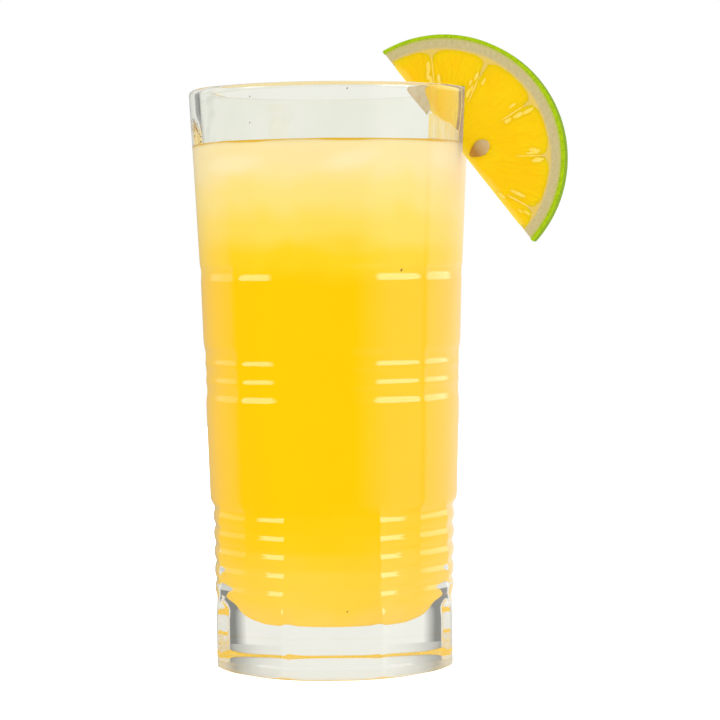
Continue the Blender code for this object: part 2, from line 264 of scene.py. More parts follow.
BODY_FLATNESS = 0.45
BODY_FLAT_TOP = 139 * MM
BODY_FLAT_FADE = 18 * MM
RIBS_BODY_FLATNESS = 0.22
FOOT_FLATNESS = 0.8
FOOT_FLARE = 0.85 * MM
RIBS_FLATNESS = 0.38
RIBS_FLATNESS_AT_TOP = 0.33
FACETS_TOP = 17 * MM
FACETS_FADE = 5.5 * MM
GROOVE_PITCH = 4.94 * MM
FOOT_GROOVE_BOTTOM = 24.34 * MM
FOOT_GROOVES = 5
FOOT_WAIST = 19.6 * MM
FOOT_WAIST_DEPTH = 0.4 * MM
FOOT_WAIST_ABOVE = 2.3 * MM
FOOT_WAIST_BELOW = 5 * MM
FOOT_GROOVE_DEPTH = 0.45 * MM
FOOT_GROOVE_NARROWNESS = 2.8
BAND_GROOVE_BOTTOM = 76.9 * MM
BAND_GROOVES = 3
BAND_GROOVE_DEPTH = 0.42 * MM
BAND_GROOVE_NARROWNESS = 1
BAND_RECESS = 0.25 * MM
RIB_SOFTNESS = 0.02
RING_GROOVE = 110.2 * MM
RING_GROOVE_DEPTH = 0.55 * MM
RING_GROOVE_ABOVE = 2.1 * MM
RING_GROOVE_BELOW = 3.4 * MM
GROOVE_SHARE_AT_RIDGE = 0.4
GROOVE_FADE_AT_RIDGE = math.radians(4)
SCUFFED_HEIGHT = 3 * MM
UNDERSIDE = 0.01 * MM
CORD_WIDTH = 8.33 * MM
SECTOR_COLUMNS = 16
SECTOR = math.pi / FLATS


def blend(start, end, share):
    """start below share 0, end above share 1, and a smooth step between."""
    share = np.clip(share, 0, 1)
    return start + (end - start) * share * share * (3 - 2 * share)


def inner_radius(height):
    """The plunger's outline: a long taper, a narrower nose inside the foot, and a bowl down to the floor."""
    taper = INNER_TAPER * (HEIGHT - RIM_DEPTH - height)
    neck = blend(INNER_NECK, 0, (height - INNER_NECK_BOTTOM) / (INNER_NECK_TOP - INNER_NECK_BOTTOM))
    bowl = BOWL_INSET * np.clip(1 - (height - FLOOR_HEIGHT) / BOWL_HEIGHT, 0, 1) ** 2
    return INNER_RIM_RADIUS - taper - neck - bowl


def plain_radius(height):
    """The outside before flats and grooves are pressed in."""
    foot = BASE_RADIUS + (FOOT_TOP_RADIUS - BASE_RADIUS) * height / FOOT_TOP
    foot = foot + blend(FOOT_FLARE, 0, (height - FACETS_TOP) / FACETS_FADE)
    share = (height - FOOT_TOP) / (LOWER_BODY_TOP - FOOT_TOP)
    lower = FOOT_TOP_RADIUS + (LOWER_BODY_TOP_RADIUS - FOOT_TOP_RADIUS) * share
    share = (height - LOWER_BODY_TOP) / (UPPER_BODY_BOTTOM - LOWER_BODY_TOP)
    step = blend(LOWER_BODY_TOP_RADIUS, UPPER_BODY_BOTTOM_RADIUS, share)
    share = (height - UPPER_BODY_BOTTOM) / (HEIGHT - RIM_DEPTH - UPPER_BODY_BOTTOM)
    upper = UPPER_BODY_BOTTOM_RADIUS + (RIM_RADIUS - UPPER_BODY_BOTTOM_RADIUS) * share
    below = [height <= FOOT_TOP, height <= LOWER_BODY_TOP, height < UPPER_BODY_BOTTOM]
    return np.select(below, [foot, lower, step], upper)


def groove_band(height, bottom, count, depth, narrowness):
    """Depth of a band of rounded grooves one pitch apart; narrow grooves leave wide ribs between them."""
    turns = (height - bottom) / GROOVE_PITCH
    wave = np.sqrt(np.cos(math.pi * turns) ** 2 + RIB_SOFTNESS) - math.sqrt(RIB_SOFTNESS)
    wave = wave / (math.sqrt(1 + RIB_SOFTNESS) - math.sqrt(RIB_SOFTNESS))
    return np.where((turns > -0.5) & (turns < count - 0.5), depth * wave**narrowness, 0)


def groove_depth(height, angle):
    """The foot's grooves run all round. The band's and the ring run out towards the body's ridges."""
    foot = groove_band(height, FOOT_GROOVE_BOTTOM, FOOT_GROOVES, FOOT_GROOVE_DEPTH, FOOT_GROOVE_NARROWNESS)
    waist_reach = np.where(height > FOOT_WAIST, FOOT_WAIST_ABOVE, FOOT_WAIST_BELOW)
    foot = foot + blend(FOOT_WAIST_DEPTH, 0, np.abs(height - FOOT_WAIST) / waist_reach)
    body = groove_band(height, BAND_GROOVE_BOTTOM, BAND_GROOVES, BAND_GROOVE_DEPTH, BAND_GROOVE_NARROWNESS)
    ring_reach = np.where(height > RING_GROOVE, RING_GROOVE_ABOVE, RING_GROOVE_BELOW)
    body = body + blend(RING_GROOVE_DEPTH, 0, np.abs(height - RING_GROOVE) / ring_reach)
    band_middle = BAND_GROOVE_BOTTOM + GROOVE_PITCH * (BAND_GROOVES - 1) / 2
    band_reach = GROOVE_PITCH * BAND_GROOVES / 2
    recess = blend(BAND_RECESS, 0, (np.abs(height - band_middle) - band_reach) / GROOVE_PITCH + 0.5)
    pitch = 2 * SECTOR
    off_ridge = np.abs((angle + pitch / 2) % pitch - pitch / 2)
    return foot + recess + body * blend(GROOVE_SHARE_AT_RIDGE, 1, off_ridge / GROOVE_FADE_AT_RIDGE)


def flat_loss(angle, centre):
    """How far a full flat lies inside the circle through its edges, as a share of that circle's radius."""
    pitch = 2 * SECTOR
    off_centre = (angle - centre + pitch / 2) % pitch - pitch / 2
    return 1 - math.cos(pitch / 2) / np.cos(off_centre)


def outer_radius(height, angle):
    """Body flats meet on the X and Y axes, foot flats face along them; every ridge is slightly rounded."""
    grooves_top = FOOT_TOP + GROOVE_PITCH / 2
    grooves_start = FOOT_TOP - GROOVE_PITCH / 2
    down = (grooves_top - height) / GROOVE_PITCH
    further = (grooves_start - height) / (grooves_start - FOOT_WAIST)
    body = blend(BODY_FLATNESS, 0, (height - BODY_FLAT_TOP) / BODY_FLAT_FADE)
    body = np.where(height < grooves_top, blend(BODY_FLATNESS, RIBS_BODY_FLATNESS, down), body)
    body = np.where(height < grooves_start, blend(RIBS_BODY_FLATNESS, 0, further), body)
    foot = np.where(height < grooves_top, blend(0, RIBS_FLATNESS_AT_TOP, down), 0)
    foot = np.where(height < grooves_start, blend(RIBS_FLATNESS_AT_TOP, RIBS_FLATNESS, further), foot)
    foot = foot + blend(FOOT_FLATNESS - RIBS_FLATNESS, 0, (height - FACETS_TOP) / FACETS_FADE)
    pressed = (1 + RIDGE_CAP) * (1 - body * flat_loss(angle, SECTOR) - foot * flat_loss(angle, 0))
    ridge = (pressed + 1 - np.sqrt((pressed - 1) ** 2 + RIDGE_SOFTNESS**2)) / 2
    faceted = plain_radius(height) * ridge - groove_depth(height, angle)
    return np.minimum(faceted, BASE_ROUND_RADIUS + BASE_ROUND_FLARE * height)


def floor_curve(inset, steps):
    """(heights, radii) round the edge of the inner floor and in over the flat floor, moved in by inset."""
    turn = np.arange(steps) / (steps - 1)
    corner_radius = inner_radius(FLOOR_HEIGHT)
    radii = (1 - turn) ** 2 * inner_radius(FLOOR_HEIGHT + FLOOR_EDGE) + (1 - (1 - turn) ** 2) * corner_radius
    radii = radii - turn**2 * FLOOR_EDGE - inset
    heights = FLOOR_HEIGHT + (1 - turn) ** 2 * FLOOR_EDGE + inset
    flat = np.arange(1, 7) / 7
    heights = np.concatenate([heights, np.full(len(flat), heights[-1])])
    return heights, np.concatenate([radii, radii[-1] * (1 - flat)])


def turned_object(name, heights, radii, angles):
    """A closed solid from rings of points, lowest outside first; a fan of faces closes each end."""
    rows, columns = radii.shape
    rings = np.stack([radii * np.cos(angles), radii * np.sin(angles), np.broadcast_to(heights, radii.shape)], -1)
    ends = [[0, 0, heights[0, 0]], [0, 0, heights[-1, 0]]]
    points = np.concatenate([rings.reshape(-1, 3), ends])
    column = np.arange(columns)
    after = (column + 1) % columns
    low = np.arange(rows - 1)[:, None] * columns
    sides = np.stack([low + column, low + after, low + columns + after, low + columns + column], -1)
    first, last = rows * columns, rows * columns + 1
    caps = [(int(b), int(a), first) for a, b in zip(column, after)]
    top = (rows - 1) * columns
    caps += [(int(top + a), int(top + b), last) for a, b in zip(column, after)]
    data = bpy.data.meshes.new(name)
    data.from_pydata(points.tolist(), [], sides.reshape(-1, 4).tolist() + caps)
    data.validate()
    data.shade_smooth()
    made = bpy.data.objects.new(name, data)
    scene.collection.objects.link(made)
    return made


def wall_heights():
    """Row heights up the outside: a fine step over the grooves and a wide one on the plain walls."""
    runs = [
        (BASE_EDGE, 5 * MM, 10),
        (5 * MM, 15 * MM, 4),
        (15 * MM, 49 * MM, 96),
        (49 * MM, 73 * MM, 8),
        (73 * MM, 93 * MM, 60),
        (93 * MM, 106 * MM, 5),
        (106 * MM, 113 * MM, 24),
        (113 * MM, 148 * MM, 10),
        (148 * MM, 157 * MM, 16),
        (157 * MM, HEIGHT - RIM_DEPTH, 2),
    ]
    return np.concatenate([np.linspace(low, high, steps, endpoint=False) for low, high, steps in runs])


corner = (1 - np.cos(np.arange(SECTOR_COLUMNS) / SECTOR_COLUMNS * math.pi)) / 2
angles = (np.arange(2 * FLATS)[:, None] + corner[None, :]).reshape(1, -1) * SECTOR

edge_turn = np.linspace(0, math.pi / 2, 8, endpoint=False)[:, None]
edge_height = BASE_EDGE * (1 - np.cos(edge_turn))
edge_radius = outer_radius(edge_height, angles) - BASE_EDGE * (1 - np.sin(edge_turn))
wall_height = wall_heights()[:, None]
lip_turn = np.linspace(0, math.pi, 15)[:, None]
lip_height = HEIGHT - RIM_DEPTH * (1 - np.sin(lip_turn))
lip_middle = (RIM_RADIUS + INNER_RIM_RADIUS) / 2
lip_radius = lip_middle + (RIM_RADIUS - lip_middle) * np.cos(lip_turn)
bore_height = np.linspace(HEIGHT - RIM_DEPTH, FLOOR_HEIGHT + FLOOR_EDGE, 90)[1:-1, None]
floor_height, floor_radius = floor_curve(0, 12)
heights = np.concatenate([edge_height, wall_height, lip_height, bore_height, floor_height[:, None]])
plain_rows = np.concatenate([lip_radius, inner_radius(bore_height), floor_radius[:, None]])
plain_rows = np.broadcast_to(plain_rows, (len(plain_rows), angles.size))
radii = np.concatenate([edge_radius, outer_radius(wall_height, angles), plain_rows])
glass = turned_object("pressed_tumbler", heights, radii, angles)

# Pressed soda-lime glass: clear with a breath of green, fire polished to a full gloss, with faint cords of
# uneven tint that a mould leaves. Light for the drink passes straight through it.
pressed_glass, tree, output, shader = new_material(
    "pressed_soda_lime_glass", {"Roughness": 0.0, "IOR": 1.52, "Transmission Weight": 1.0}
)
where = add_node(tree, "ShaderNodeTexCoord").outputs["Object"]
cords = add_node(tree, "ShaderNodeTexNoise", {"Vector": where, "Scale": 1 / CORD_WIDTH, "Detail": 2})
tint = colour_by(tree, cords, [(0.3, "#F9FBF6"), (0.7, "#FDFEFA")])
tree.links.new(tint, shader.inputs["Base Color"])
ray = add_node(tree, "ShaderNodeLightPath").outputs
lighting = [ray["Is Shadow Ray"], ray["Is Diffuse Ray"]]
lighting = add_node(tree, "ShaderNodeMath", lighting, operation="MAXIMUM")
clear = add_node(tree, "ShaderNodeBsdfTransparent", [linear("#F7FAF4")])
mixed = add_node(tree, "ShaderNodeMixShader", [lighting, shader, clear])
tree.links.new(mixed.outputs[0], output.inputs["Surface"])
glass.data.materials.append(pressed_glass)

# The same glass, scuffed round the lowest edge, so that what it mirrors is blurred and pale.
scuffed_glass = pressed_glass.copy()
scuffed_glass.name = "scuffed_soda_lime_glass"
scuffed_glass.node_tree.nodes["Principled BSDF"].inputs["Roughness"].default_value = 0.3
glass.data.materials.append(scuffed_glass)

# The rounded edge of the underside, with a painted golden glow: the glass's tint is turned gold here, as painted
# light for the light that has passed through the drink and gathers in a golden line.
painted_glow_glass = scuffed_glass.copy()
painted_glow_glass.name = "soda_lime_glass_with_painted_golden_glow"
for node in painted_glow_glass.node_tree.nodes:
    if node.type == "VALTORGB":
        for element, hex_colour in zip(node.color_ramp.elements, ("#E6D49A", "#F0E3B8")):
            element.color = linear(hex_colour)
glass.data.materials.append(painted_glow_glass)
# Faces under half the edge's rounding get the painted golden glow; the rest of the low band gets the scuffed
# glass.
for face in glass.data.polygons:
    if UNDERSIDE <= face.center.z <= SCUFFED_HEIGHT:
        face.material_index = 2 if face.center.z < BASE_EDGE / 2 else 1
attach(glass, "root")
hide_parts("tumbler")


# Juice: cloudy pressed orange juice, filled to 15 mm below the rim. Fine pulp makes it opaque. It wets the
# wall, so it climbs it a little at the top, and in the picture no air shows between it and the glass.
DRINK_LEVEL = 144.4 * MM
MENISCUS_HEIGHT = 0.8 * MM
MENISCUS_WIDTH = 1.6 * MM
INTO_WALL = 0.15 * MM
CLOUD_SIZE = 22.22 * MM
CLOUD_DRIFT = 2.5 * MM
RIPPLE_LENGTH = 14.28 * MM
RIPPLE_HEIGHT = 1.6 * MM
# Melting ice and froth lie just under the surface as pale soft masses. Each is (out, up), (half length, half
# height) in mm, and its tilt in degrees.
ICE = [((-25, 139), (9, 3.2), 4), ((6, 139.6), (9, 3), 14), ((31, 140.5), (6, 4.5), 0)]

floor_height, floor_radius = floor_curve(-INTO_WALL, 12)
side_height = np.linspace(FLOOR_HEIGHT + FLOOR_EDGE, DRINK_LEVEL + MENISCUS_HEIGHT, 90)[1:]
wall = inner_radius(DRINK_LEVEL)
curl = np.linspace(0, 1, 9)
curl_radius = wall - MENISCUS_WIDTH * curl
curl_height = DRINK_LEVEL + MENISCUS_HEIGHT * (1 - curl) ** 2
still_radius = np.linspace(wall - MENISCUS_WIDTH, 0.001, 12)[1:]
still_height = np.full(len(still_radius), DRINK_LEVEL)
heights = np.concatenate([floor_height[::-1], side_height, curl_height, still_height])[:, None]
side_radius = inner_radius(side_height) + INTO_WALL
radii = np.concatenate([floor_radius[::-1], side_radius, curl_radius, still_radius])[:, None]
juice = turned_object("cloudy_juice", heights, np.broadcast_to(radii, (len(radii), angles.size)), angles)


def tinged(tree, tone, share, hex_colour):
    """A tone that turns to another colour where the share is 1."""
    sockets = {"Factor": share, "A": tone, "B": linear(hex_colour)}
    return add_node(tree, "ShaderNodeMix", sockets, data_type="RGBA").outputs["Result"]


# Cloudy orange juice: deep yellow where the pulp is thick, paler and creamier towards the top, where froth and
# melting ice thin it, and a little paler again at the bottom, a painted glow for the light that comes up through
# the foot.
drink, tree, output, shader = new_material("cloudy_orange_juice", {"Roughness": 0.5, "Specular IOR Level": 0.05})
where = add_node(tree, "ShaderNodeTexCoord").outputs["Object"]
height = add_node(tree, "ShaderNodeSeparateXYZ", [where]).outputs["Z"]
cloud = {"Vector": where, "Scale": 1 / CLOUD_SIZE, "Detail": 3, "Distortion": 0.6}
cloud = add_node(tree, "ShaderNodeTexNoise", cloud)
drift = {"Value": cloud, "From Min": 0.3, "From Max": 0.7, "To Min": -CLOUD_DRIFT, "To Max": CLOUD_DRIFT}
drift = add_node(tree, "ShaderNodeMapRange", drift)
height_with_drift = add_node(tree, "ShaderNodeMath", [height, drift], operation="ADD")
share = {"Value": height_with_drift, "From Min": 10 * MM, "From Max": 150 * MM}
share = add_node(tree, "ShaderNodeMapRange", share)
# The first stops, paler towards the bottom, are the painted glow of light from below.
body_colours = [(0.00, "#FACE62"), (0.09, "#FBCC45"), (0.20, "#FDC814"), (0.28, "#FDC400"), (0.68, "#FEC600")]
body_colours += [(0.74, "#FECE20"), (0.80, "#FED658"), (0.86, "#FDDC7E"), (0.93, "#FBE0A2"), (1.00, "#F8E2B0")]
tone = colour_by(tree, share, body_colours, "EASE")
for (out, rise), (half_length, half_height), tilt in ICE:
    mass_place = {
        "Vector": where,
        "Location": (out * MM, 0, rise * MM),
        "Rotation": (0, math.radians(-tilt), 0),
        "Scale": (half_length * MM, 1, half_height * MM),
    }
    mass = add_node(tree, "ShaderNodeMapping", mass_place, vector_type="TEXTURE")
    mass = add_node(tree, "ShaderNodeVectorMath", [mass, (1, 0, 1)], operation="MULTIPLY")
    off_middle = add_node(tree, "ShaderNodeVectorMath", [mass], operation="LENGTH").outputs["Value"]
    wave = add_node(tree, "ShaderNodeMath", [cloud, 0.8], operation="MULTIPLY")
    wavy = add_node(tree, "ShaderNodeMath", [off_middle, wave], operation="ADD")
    soft = {"Value": wavy, "From Min": 0.8, "From Max": 1.5, "To Min": 0.45, "To Max": 0}
    tone = tinged(tree, tone, add_node(tree, "ShaderNodeMapRange", soft), "#F9EBC4")
# Where the drink climbs the wall its thin edge is a deeper amber, in a line that swells and thins.
ripple = add_node(tree, "ShaderNodeTexNoise", {"Vector": where, "Scale": 1 / RIPPLE_LENGTH})
ripple = add_node(tree, "ShaderNodeMath", [ripple, 0.5], operation="SUBTRACT")
ripple = add_node(tree, "ShaderNodeMath", [ripple, RIPPLE_HEIGHT], operation="MULTIPLY")
line_height = add_node(tree, "ShaderNodeMath", [height, ripple], operation="ADD")
edge = {"Value": line_height, "From Min": DRINK_LEVEL + 0.1 * MM, "From Max": DRINK_LEVEL + 0.5 * MM}
edge = add_node(tree, "ShaderNodeMapRange", edge)
above_level = add_node(tree, "ShaderNodeMath", [height, DRINK_LEVEL + 0.05 * MM], operation="GREATER_THAN")
edge = add_node(tree, "ShaderNodeMath", [edge, above_level], operation="MULTIPLY")
tree.links.new(tinged(tree, tone, edge, "#F4C03C"), shader.inputs["Base Color"])
juice.data.materials.append(drink)
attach(juice, "root")
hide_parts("juice")


# Half slice: a wheel of citrus cut beside its middle and slit, pushed over the rim so that the wall stands
# in the slit. This is its pith, the spongy white layer under the peel.
SLICE_RADIUS = 34.15 * MM
SLICE_THICKNESS = 6.5 * MM
SLICE_CENTRE_OUT = 32.2 * MM
SLICE_CENTRE_UP = 140.25 * MM
SLICE_CUT_OFFSET = 5.5 * MM
SLICE_CUT_FACING = math.radians(38.1)
SLICE_TURN = math.radians(-12)
SLIT_GAP = -0.1 * MM
PEEL_THICKNESS = 1.1 * MM
PITH_INSET = 0.15 * MM
PITH_HALF = SLICE_THICKNESS / 2 - 0.2 * MM
PORE_SIZE = 0.714 * MM


def finish_mesh(name, points, faces, sharp):
    """An object in the slice's own turned plane, from points and faces, with clean outward normals."""
    data = bpy.data.meshes.new(name)
    data.from_pydata(points.tolist(), [], faces)
    solid = bmesh.new()
    solid.from_mesh(data)
    bmesh.ops.remove_doubles(solid, verts=solid.verts, dist=1e-6)
    bmesh.ops.recalc_face_normals(solid, faces=solid.faces)
    solid.to_mesh(data)
    solid.free()
    data.shade_smooth()
    data.set_sharp_from_angle(angle=math.radians(sharp))
    made = bpy.data.objects.new(name, data)
    made.rotation_euler.z = SLICE_TURN
    scene.collection.objects.link(made)
    return made


def closed_sheet(front, back):
    """Points and faces of a sheet from two equal grids of points, with a band of faces round its edge."""
    rows, columns = front.shape[:2]
    at = (np.arange(rows - 1)[:, None] * columns + np.arange(columns - 1)).reshape(-1, 1)
    quads = at + [0, columns, columns + 1, 1]
    behind = rows * columns
    faces = quads.tolist() + (quads[:, ::-1] + behind).tolist()
    top = behind - columns
    border = [*range(columns), *range(2 * columns - 1, behind, columns)]
    border += [*range(behind - 2, top - 1, -1), *range(top - columns, 0, -columns)]
    for here, there in zip(border, border[1:] + border[:1]):
        faces.append((here, there, there + behind, here + behind))
    return np.concatenate([front, back]).reshape(-1, 3), faces


def wheel_object(name, facing, inner, outer, half_thickness, rows):
    """A slab between two radii of the wheel: facing holds angles, and the three functions give metres."""
    share = np.linspace(0, 1, rows)[:, None]
    near, far = inner(facing), outer(facing)
    radius = near[None, :] + (far - near)[None, :] * share
    out = SLICE_CENTRE_OUT + radius * np.cos(facing)
    rise = SLICE_CENTRE_UP + radius * np.sin(facing)
    grids = []
    for side in (-1, 1):
        half = np.broadcast_to(half_thickness(radius, facing[None, :], share, side), radius.shape)
        grids.append(np.stack([out, side * half, rise], -1))
    return finish_mesh(name, *closed_sheet(*grids), 50)


def cut_line(facing, inset):
    """Distance from the wheel's centre to the straight cut, moved in by inset."""
    return (SLICE_CUT_OFFSET + inset) / np.cos(facing - SLICE_CUT_FACING)


def facing_range(radius, inset, columns):
    """Angles from one end of the straight cut to the other, at a radius."""
    reach = math.acos((SLICE_CUT_OFFSET + inset) / radius)
    return np.linspace(SLICE_CUT_FACING - reach, SLICE_CUT_FACING + reach, columns)


def cut_slit(piece):
    """Takes out the slot that the tumbler's wall stands in, from the straight cut up to the rim."""
    low = DRINK_LEVEL - 4 * MM
    outline = [
        (inner_radius(low) - SLIT_GAP, low),
        (plain_radius(np.array(low)).item() + SLIT_GAP, low),
        (RIM_RADIUS + SLIT_GAP, HEIGHT + SLIT_GAP),
        (INNER_RIM_RADIUS - SLIT_GAP, HEIGHT + SLIT_GAP),
    ]
    cutter = bmesh.new()
    face = cutter.faces.new([cutter.verts.new((out, -SLICE_THICKNESS, rise)) for out, rise in outline])
    made = bmesh.ops.extrude_face_region(cutter, geom=[face])
    moved = [part for part in made["geom"] if isinstance(part, bmesh.types.BMVert)]
    bmesh.ops.translate(cutter, verts=moved, vec=(0, 2 * SLICE_THICKNESS, 0))
    bmesh.ops.recalc_face_normals(cutter, faces=cutter.faces)
    data = bpy.data.meshes.new("slit_cutter")
    cutter.to_mesh(data)
    cutter.free()
    tool = bpy.data.objects.new("slit_cutter", data)
    tool.rotation_euler.z = SLICE_TURN
    scene.collection.objects.link(tool)
    slit = piece.modifiers.new("slit", "BOOLEAN")
    slit.operation = "DIFFERENCE"
    slit.solver = "EXACT"
    slit.object = tool
    bpy.context.view_layer.update()
    depsgraph = bpy.context.evaluated_depsgraph_get()
    cut = bpy.data.meshes.new_from_object(piece.evaluated_get(depsgraph))
    piece.modifiers.clear()
    piece.data = cut
    bpy.data.objects.remove(tool)


def keep_slice_piece(piece):
    """The tumbler's outside mirrors an open room: what it would mirror of the slice is left out."""
    for material in piece.data.materials:
        tree = material.node_tree
        output, shader = tree.nodes["Material Output"], tree.nodes["Principled BSDF"]
        ray = add_node(tree, "ShaderNodeLightPath").outputs
        outside = add_node(tree, "ShaderNodeMath", [ray["Transmission Depth"], 0.5], operation="LESS_THAN")
        mirrored = add_node(tree, "ShaderNodeMath", [ray["Is Glossy Ray"], outside], operation="MULTIPLY")
        open_room = add_node(tree, "ShaderNodeBsdfTransparent")
        mixed = add_node(tree, "ShaderNodeMixShader", [mirrored, shader, open_room])
        tree.links.new(mixed.outputs[0], output.inputs["Surface"])
    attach(piece, "root")
    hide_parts("citrus_slice")


pith_radius = SLICE_RADIUS - PEEL_THICKNESS
pith = wheel_object(
    "slice_pith",
    facing_range(pith_radius, PITH_INSET, 200),
    lambda turn: cut_line(turn, PITH_INSET),
    lambda turn: np.full(len(turn), pith_radius),
    lambda radius, turn, share, side: np.full(radius.shape, PITH_HALF),
    24,
)

# Citrus pith: a dry, spongy, matt layer, cream, with fine pores, a green cast right under the peel and a stain
# of juice next to the flesh.
spongy_pith, tree, output, shader = new_material(
    "spongy_citrus_pith", {"Roughness": 0.7, "Specular IOR Level": 0.3}
)
where = add_node(tree, "ShaderNodeTexCoord").outputs["Object"]
sponge = add_node(tree, "ShaderNodeTexNoise", {"Vector": where, "Scale": 1 / PORE_SIZE, "Detail": 4})
tone = colour_by(tree, sponge, [(0.3, "#C1B17C"), (0.7, "#CCBE8C")])
wheel_centre = (SLICE_CENTRE_OUT, 0, SLICE_CENTRE_UP)
from_centre = add_node(tree, "ShaderNodeVectorMath", [where, wheel_centre], operation="SUBTRACT")
from_centre = add_node(tree, "ShaderNodeVectorMath", [from_centre, (1, 0, 1)], operation="MULTIPLY")
distance = add_node(tree, "ShaderNodeVectorMath", [from_centre], operation="LENGTH").outputs["Value"]
for near, far, tinge in ((pith_radius - 0.8 * MM, pith_radius, "#C3C25A"), (30.6 * MM, 29.8 * MM, "#E6C45A")):
    reach = add_node(tree, "ShaderNodeMapRange", {"Value": distance, "From Min": near, "From Max": far})
    tone = tinged(tree, tone, reach, tinge)
tree.links.new(tone, shader.inputs["Base Color"])
pith.data.materials.append(spongy_pith)
cut_slit(pith)
keep_slice_piece(pith)


# Peel: the thin waxy green skin round the pith. It was cut with the slice, so its cut edge is brighter than its
# outside, which shows at the right and is dimpled with oil glands. The outside's darker green is partly painted
# shade.
GLAND_PITCH = 0.75 * MM
GLAND_DEPTH = 0.04 * MM
GLAND_SIZE = 0.769 * MM
PEEL_INSET = 0.1 * MM
PEEL_ROUNDING = 0.7 * MM


def peel_half(radius, turn, share, side):
    outward = (radius - pith_radius) / (SLICE_RADIUS - pith_radius)
    return SLICE_THICKNESS / 2 - 0.05 * MM - PEEL_ROUNDING * np.clip(outward - 0.35, 0, 1) ** 2


def peel_outside(turn):
    """The outer radius, dimpled once a gland."""
    return SLICE_RADIUS - PEEL_INSET - GLAND_DEPTH * np.cos(turn * SLICE_RADIUS / GLAND_PITCH * 2 * math.pi) ** 2


peel = wheel_object(
    "slice_peel",
    facing_range(SLICE_RADIUS - PEEL_INSET, 0.1 * MM, 420),
    lambda turn: np.full(len(turn), pith_radius),
    peel_outside,
    peel_half,
    10,
)

# Green citrus peel where the knife went through it is moist, half glossy and a bright yellow green. Its outside
# is waxy, a darker green with paler dots over the oil glands; that darker green is partly its own and partly
# painted shade, for the side of the rind turned from the light.
for name, roughness, specular, stops in (
    ("cut_green_citrus_peel", 0.4, 0.1, [(0.1, "#8DB000"), (0.6, "#A9C805")]),
    ("waxy_green_citrus_peel_with_painted_shade", 0.6, 0.02, [(0.1, "#9CBC10"), (0.55, "#7FA006")]),
):
    green, tree, output, shader = new_material(name, {"Roughness": roughness, "Specular IOR Level": specular})
    where = add_node(tree, "ShaderNodeTexCoord").outputs["Object"]
    glands = add_node(tree, "ShaderNodeTexVoronoi", {"Vector": where, "Scale": 1 / GLAND_SIZE})
    tree.links.new(colour_by(tree, glands, stops), shader.inputs["Base Color"])
    peel.data.materials.append(green)
# The rind's outside takes the darker green, which is partly painted shade.
for face in peel.data.polygons:
    outward = face.center.x - SLICE_CENTRE_OUT, face.center.z - SLICE_CENTRE_UP
    face.material_index = int(abs(face.normal.y) < 0.6 and math.hypot(*outward) > SLICE_RADIUS - 0.3 * MM)
keep_slice_piece(peel)


# Flesh: six juicy segments, packed with long juice sacs that point to the middle of the wheel. Thin walls
# part the segments, and show as pale lines that notch the flesh's round outer edge.
MEMBRANES = [math.radians(turn) for turn in (-29.4, 0.8, 31.2, 64.0, 95.2)]
MEMBRANE_DEPTHS = [2.1 * MM, 1.5 * MM, 2.9 * MM, 5.1 * MM, 1.7 * MM]
FLESH_RADIUS = 30.0 * MM
LOBE_DIP = 1.2 * MM
LOBE_DIP_WIDTH = math.radians(4)
MEMBRANE_WIDTH = math.radians(1.4)
FLESH_INSET = 0.04 * MM
FLESH_PROUD = 0.08 * MM
SAC_LENGTH = 3.4 * MM
SAC_WIDTH = 0.62 * MM
SAC_RELIEF = 0.14 * MM
SAC_COUNT = 520
FLESH_CLOUD = 6.25 * MM


def flesh_outline(turn):
    """The flesh's outer edge, round over each segment and notched at each wall between two."""
    radius = np.full(len(turn), FLESH_RADIUS)
    for wall_turn, depth in zip(MEMBRANES, MEMBRANE_DEPTHS):
        off = np.abs(turn - wall_turn)
        radius = radius - LOBE_DIP * np.exp(-((off / LOBE_DIP_WIDTH) ** 2))
        radius = radius - depth * np.clip(1 - off / MEMBRANE_WIDTH, 0, 1) ** 0.8
    return radius


draw = np.random.default_rng(11)
low_turn, high_turn = facing_range(FLESH_RADIUS, 0, 2)
sac_radius = FLESH_RADIUS * np.sqrt(draw.uniform(0.03, 1, SAC_COUNT))
sac_turn = draw.uniform(low_turn, high_turn, SAC_COUNT)
sac_side = draw.integers(0, 2, SAC_COUNT) * 2 - 1
sac_length = SAC_LENGTH * draw.uniform(0.7, 1.3, SAC_COUNT)


def sac_height(radius, turn, side):
    """1 on the crest of a juice sac and 0 between the sacs, from the nearest of the scattered sacs."""
    closest = np.ones(radius.shape)
    here = sac_side == side
    for middle, own_turn, length in zip(sac_radius[here], sac_turn[here], sac_length[here]):
        along = (radius - middle) / length
        across = (turn - own_turn) * radius / SAC_WIDTH
        closest = np.minimum(closest, along**2 + across**2)
    return 1 - closest


def flesh_half(radius, turn, share, side):
    edge = np.sqrt(np.minimum(1, (1 - share) * 14))
    crest = sac_height(radius, turn, side)
    return PITH_HALF + (FLESH_PROUD + SAC_RELIEF * crest) * edge - 0.05 * MM * (1 - edge)


facing = facing_range(FLESH_RADIUS, 0, 360)
fine = [wall_turn + np.linspace(-1, 1, 25) * MEMBRANE_WIDTH for wall_turn in MEMBRANES]
facing = np.sort(np.concatenate([facing[2:-2], *fine]))
flesh = wheel_object(
    "slice_flesh",
    facing,
    lambda turn: cut_line(turn, FLESH_INSET),
    lambda turn: np.maximum(flesh_outline(turn), cut_line(turn, FLESH_INSET) + FLESH_INSET),
    flesh_half,
    90,
)
